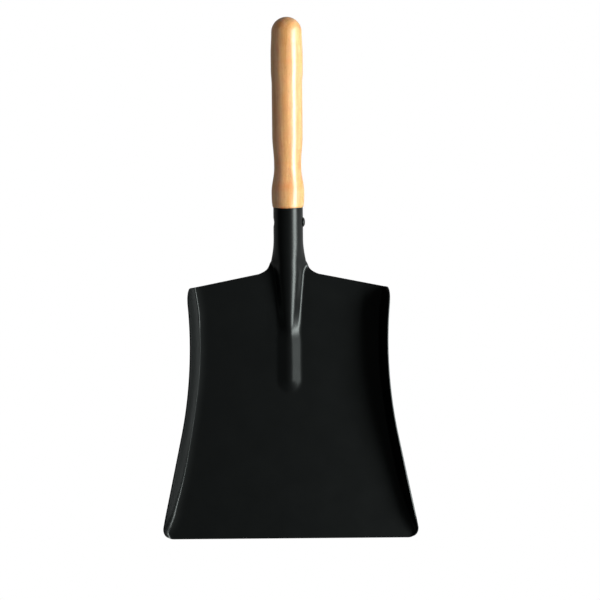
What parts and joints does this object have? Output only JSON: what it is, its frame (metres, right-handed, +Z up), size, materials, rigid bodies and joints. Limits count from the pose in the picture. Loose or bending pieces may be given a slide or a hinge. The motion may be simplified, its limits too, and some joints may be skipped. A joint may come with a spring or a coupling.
{
  "type": "hand shovel",
  "caption": "One-handed pan shovel: wide black coated steel pan with low side flanges, a pressed centre rib and a rolled socket, riveted to a short turned wooden handle.",
  "frame": {"origin": "middle of the flat front part of the pan's underside, on the ground plane", "axes": "+Y from the lip to the handle's top, +Z up out of the pan, X across the pan"},
  "size_m": [0.2414, 0.4896, 0.0516],
  "materials": {
    "black_coated_steel": "semi-gloss black stoved enamel on pressed steel sheet",
    "lacquered_wood": "clear gloss lacquer on pale turned hardwood",
    "rivet_steel": "black stoved enamel on a steel rivet"
  },
  "bodies": {
    "root": {"pan": "black_coated_steel", "handle": "lacquered_wood", "rivet": "rivet_steel"}
  },
  "joints": []
}
